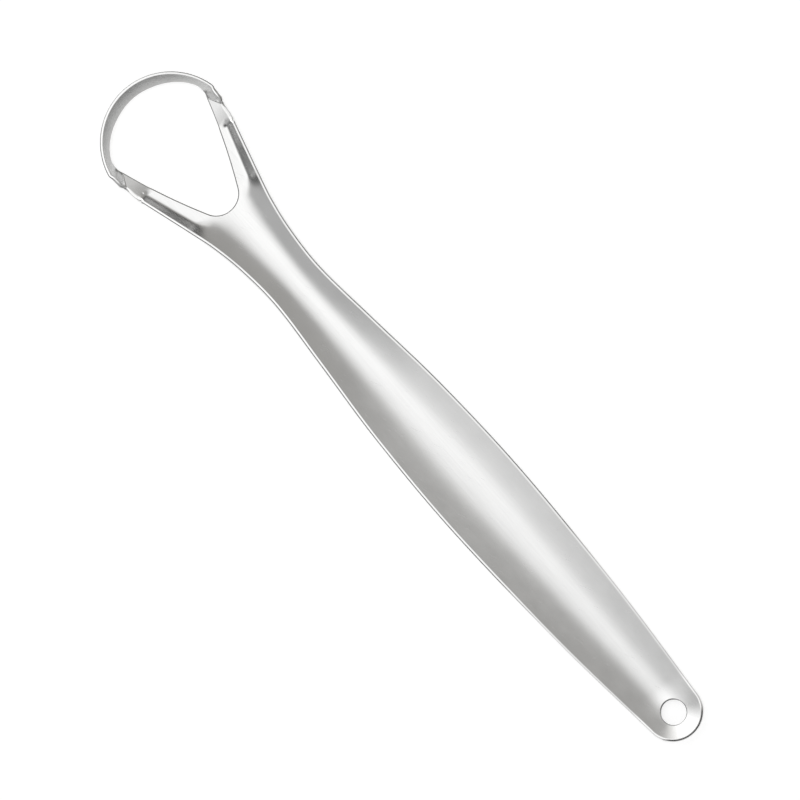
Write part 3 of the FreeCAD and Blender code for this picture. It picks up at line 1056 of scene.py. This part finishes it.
def closed_mesh(name, points, faces):
    """A mesh of these faces, whose cut ends are closed with caps."""
    mesh = bpy.data.meshes.new(name)
    mesh.from_pydata(points, [], faces)
    shape = bmesh.new()
    shape.from_mesh(mesh)
    open_edges = [edge for edge in shape.edges if edge.is_boundary]
    bmesh.ops.holes_fill(shape, edges=open_edges, sides=0)
    shape.to_mesh(mesh)
    shape.free()
    return mesh


def shade_as_whole(mesh, sheet, used, first_cap):
    """Gives a piece's mesh the polish, the painted shade and the normals of the whole sheet."""
    for name, values in (("polish", sheet.polish), ("shade", sheet.shade)):
        layer = mesh.attributes.new(name, "FLOAT", "POINT")
        layer.data.foreach_set("value", [values[i] for i in used])
    mesh.polygons.foreach_set("use_smooth", [True] * len(mesh.polygons))
    normals = []
    for polygon in mesh.polygons:
        cap = polygon.index >= first_cap
        for i in polygon.vertices:
            normals.append(polygon.normal if cap else sheet.normals[used[i]])
    mesh.normals_split_custom_set(normals)


def piece_from(sheet, node, material):
    """The faces of one node as a closed piece of its own, shaded as part of the whole sheet."""
    faces = [face for face, owner in zip(sheet.faces, sheet.nodes) if owner == node]
    used = sorted({i for face in faces for i in face})
    number = {old: new for new, old in enumerate(used)}
    points = [sheet.points[i] * MM for i in used]
    mesh = closed_mesh(node + "_sheet", points, [[number[i] for i in face] for face in faces])
    shade_as_whole(mesh, sheet, used, len(faces))
    mesh.materials.append(material)
    piece = bpy.data.objects.new(node + "_sheet", mesh)
    bpy.context.scene.collection.objects.link(piece)
    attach(piece, "root")
    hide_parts(node)
    return piece


# Materials, floor, studio and camera

def add_node(tree, kind, **settings):
    """A new shader node with these settings."""
    node = tree.nodes.new(kind)
    for name, value in settings.items():
        setattr(node, name, value)
    return node


def ramp(tree, value, low, high, low_result, high_result):
    """A value turned from one range to another, and held at its ends."""
    step = add_node(tree, "ShaderNodeMapRange")
    tree.links.new(value, step.inputs["Value"])
    step.inputs["From Min"].default_value = low
    step.inputs["From Max"].default_value = high
    step.inputs["To Min"].default_value = low_result
    step.inputs["To Max"].default_value = high_result
    return step.outputs["Result"]


def join(tree, operation, first, second):
    """Two values joined by a sum, a product or the like."""
    both = add_node(tree, "ShaderNodeMath", operation=operation)
    tree.links.new(first, both.inputs[0])
    tree.links.new(second, both.inputs[1])
    return both.outputs[0]


def stretched_noise(tree, form):
    """Noise over the object in the given form."""
    place = add_node(tree, "ShaderNodeTexCoord")
    mapping = add_node(tree, "ShaderNodeMapping", vector_type="TEXTURE")
    noise = add_node(tree, "ShaderNodeTexNoise")
    mapping.inputs["Scale"].default_value = [1 / count for count in form.grains]
    mapping.inputs["Rotation"].default_value = (0, 0, math.radians(form.turn))
    noise.inputs["Scale"].default_value = 1.0
    noise.inputs["Detail"].default_value = form.detail
    tree.links.new(place.outputs["Object"], mapping.inputs["Vector"])
    tree.links.new(mapping.outputs["Vector"], noise.inputs["Vector"])
    return noise.outputs[0]


def attribute(tree, name):
    """A value that the pieces' meshes hold at each point."""
    return add_node(tree, "ShaderNodeAttribute", attribute_name=name).outputs["Fac"]


def satin_steel():
    """Satin stainless steel: lengthwise grain, faint clouds, a few hairlines, smoother edges, and painted
    shade in a pit and on the hole's wall.
    """
    material = bpy.data.materials.new("satin_steel")
    material.use_nodes = True
    tree = material.node_tree
    steel = tree.nodes["Principled BSDF"]
    steel.inputs["Metallic"].default_value = 1.0
    grain = stretched_noise(tree, GRAIN)
    clouds = stretched_noise(tree, CLOUDS)
    hairlines = ramp(tree, stretched_noise(tree, HAIRLINES), *HAIRLINE_RANGE, 0, 1)

    tone = add_node(tree, "ShaderNodeMix", data_type="RGBA")
    tone.inputs["A"].default_value = STEEL_DARK
    tone.inputs["B"].default_value = STEEL_PALE
    tree.links.new(ramp(tree, clouds, *NOISE_RANGE, 0, 1), tone.inputs["Factor"])
    # Painted shade put into the colour, in the pit of a mark and on the hole's wall
    with_painted_shade = add_node(tree, "ShaderNodeMix", data_type="RGBA")
    with_painted_shade.inputs["B"].default_value = PAINTED_SHADE_GREY
    shade = ramp(tree, attribute(tree, "shade"), *PAINTED_SHADE_RANGE, 0, PAINTED_SHADE_MOST)
    tree.links.new(shade, with_painted_shade.inputs["Factor"])
    tree.links.new(tone.outputs["Result"], with_painted_shade.inputs["A"])
    tree.links.new(with_painted_shade.outputs["Result"], steel.inputs["Base Color"])

    fine = ramp(tree, grain, *NOISE_RANGE, ROUGHNESS - ROUGHNESS_GRAIN, ROUGHNESS + ROUGHNESS_GRAIN)
    broad = ramp(tree, clouds, *NOISE_RANGE, -ROUGHNESS_CLOUDS, ROUGHNESS_CLOUDS)
    scratched = ramp(tree, hairlines, 0, 1, 0, HAIRLINE_ROUGHNESS)
    smoother = ramp(tree, attribute(tree, "polish"), 0, 1, 0, -EDGE_POLISH)
    surface = join(tree, "ADD", join(tree, "ADD", fine, broad), join(tree, "ADD", scratched, smoother))
    tree.links.new(surface, steel.inputs["Roughness"])

    bump = add_node(tree, "ShaderNodeBump")
    bump.inputs["Strength"].default_value = BUMP_STRENGTH
    bump.inputs["Distance"].default_value = BUMP_DEPTH * MM
    tree.links.new(join(tree, "SUBTRACT", grain, hairlines), bump.inputs["Height"])
    tree.links.new(bump.outputs["Normal"], steel.inputs["Normal"])
    return material


def floor_material():
    """Plain pale floor. It looks white to the camera and in reflections, and still takes a shadow."""
    material = bpy.data.materials.new("pale_floor")
    material.use_nodes = True
    tree = material.node_tree
    tree.nodes.clear()
    out = add_node(tree, "ShaderNodeOutputMaterial")
    both = add_node(tree, "ShaderNodeAddShader")
    matt = add_node(tree, "ShaderNodeBsdfDiffuse")
    glow = add_node(tree, "ShaderNodeEmission")
    matt.inputs["Color"].default_value = (FLOOR_GREY, FLOOR_GREY, FLOOR_GREY, 1)
    rays = add_node(tree, "ShaderNodeLightPath").outputs
    seen = join(tree, "ADD", rays["Is Camera Ray"], rays["Is Glossy Ray"])
    seen = join(tree, "ADD", seen, rays["Is Transmission Ray"])
    tree.links.new(ramp(tree, seen, 0, 1, 0, FLOOR_GLOW), glow.inputs["Strength"])
    tree.links.new(matt.outputs[0], both.inputs[0])
    tree.links.new(glow.outputs[0], both.inputs[1])
    tree.links.new(both.outputs[0], out.inputs["Surface"])
    return material


def floor():
    """Large level floor just under the scraper."""
    mesh = bpy.data.meshes.new("floor")
    half = FLOOR_HALF_SIZE * MM
    height = -FLOOR_DROP * MM
    corners = [(-half, -half), (half, -half), (half, half), (-half, half)]
    mesh.from_pydata([(x, y, height) for x, y in corners], [], [range(len(corners))])
    mesh.materials.append(floor_material())
    plane = bpy.data.objects.new("floor", mesh)
    bpy.context.scene.collection.objects.link(plane)


def studio():
    """World light by direction: walls with a dark belt, a brighter head side and a bright patch above."""
    world = bpy.data.worlds.new("studio")
    world.use_nodes = True
    bpy.context.scene.world = world
    tree = world.node_tree
    background = tree.nodes["Background"]
    direction = add_node(tree, "ShaderNodeTexCoord").outputs["Generated"]

    def toward(vector):
        dot = add_node(tree, "ShaderNodeVectorMath", operation="DOT_PRODUCT")
        tree.links.new(direction, dot.inputs[0])
        dot.inputs[1].default_value = vector
        return dot.outputs["Value"]

    belt = ramp(tree, toward((0, 0, 1)), cosine(BELT_BOTTOM), cosine(BELT_TOP), 0, 1)
    walls = ramp(tree, toward((0, -1, 0)), -1, 1, WALL_LEVEL - WALL_SIDE, WALL_LEVEL + WALL_SIDE)
    above = ramp(tree, toward(PATCH_DIRECTION), cosine(PATCH_ANGLE), 1, 0, PATCH_STRENGTH**0.5)
    head = ramp(tree, toward(HEAD_DIRECTION), cosine(HEAD_ANGLE), 1, 0, HEAD_STRENGTH)
    patches = join(tree, "ADD", join(tree, "MULTIPLY", above, above), head)
    total = join(tree, "ADD", join(tree, "MULTIPLY", walls, belt), patches)
    tree.links.new(total, background.inputs["Strength"])

    tint = add_node(tree, "ShaderNodeMix", data_type="RGBA")
    tint.inputs["A"].default_value = WHITE
    tint.inputs["B"].default_value = WARM_SIDE
    tree.links.new(ramp(tree, toward((0, 1, 0)), *WARM_RANGE, 0, 1), tint.inputs["Factor"])
    tree.links.new(tint.outputs["Result"], background.inputs["Color"])


def camera():
    """Camera at the photograph's place, high above the scraper."""
    data = bpy.data.cameras.new("camera")
    data.sensor_width = SENSOR_WIDTH
    data.lens = SENSOR_WIDTH * CAMERA_DISTANCE / VIEW_WIDTH
    data.clip_end = VIEW_DEPTH * MM
    eye = bpy.data.objects.new("camera", data)
    eye.location = (VIEW_MIDDLE + Vector((0, 0, CAMERA_DISTANCE))) * MM
    eye.rotation_euler = (0, 0, math.radians(HANDLE_TURN))
    bpy.context.scene.collection.objects.link(eye)
    bpy.context.scene.camera = eye


def main():
    sheet = whole_sheet()
    steel = satin_steel()
    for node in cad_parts:
        piece_from(sheet, node, steel)
    floor()
    studio()
    camera()
    bpy.context.scene.view_settings.view_transform = "Standard"


main()
